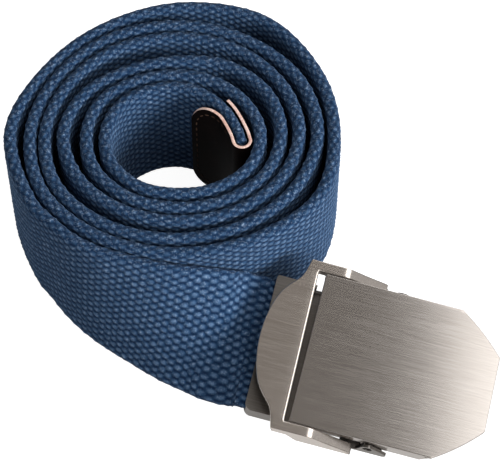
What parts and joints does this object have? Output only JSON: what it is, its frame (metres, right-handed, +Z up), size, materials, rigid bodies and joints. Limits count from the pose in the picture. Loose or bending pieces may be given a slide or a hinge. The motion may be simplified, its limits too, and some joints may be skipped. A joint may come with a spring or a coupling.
{
  "type": "work belt",
  "caption": "Rolled webbing work belt with a clamping plate buckle, a hinged cover plate and a folded leather tip.",
  "frame": {"origin": "under the middle of the whole belt, on the surface it stands on", "axes": "+Z up, +X toward the buckle's free end, +Y away from the buckle"},
  "size_m": [0.1408, 0.1418, 0.0381],
  "materials": {
    "webbing": "coarse woven, matt",
    "leather": "smooth, half matt",
    "brushed_plate": "brushed along the buckle, edges polished",
    "grey_steel": "satin"
  },
  "bodies": {
    "belt": {"webbing_strap": "webbing", "leather_tip": "leather", "buckle_channel": "grey_steel", "buckle_frame": "brushed_plate", "hinge_pin": "grey_steel"},
    "cover": {"cover_plate": "brushed_plate"}
  },
  "joints": [
    {"name": "cover_hinge", "type": "hinge", "parent": "belt", "child": "cover", "pos_m": [0.03824, -0.04569, 0.01291], "axis": [-0.2372, -0.9372, -0.2556], "range_deg": [0, 22]}
  ]
}
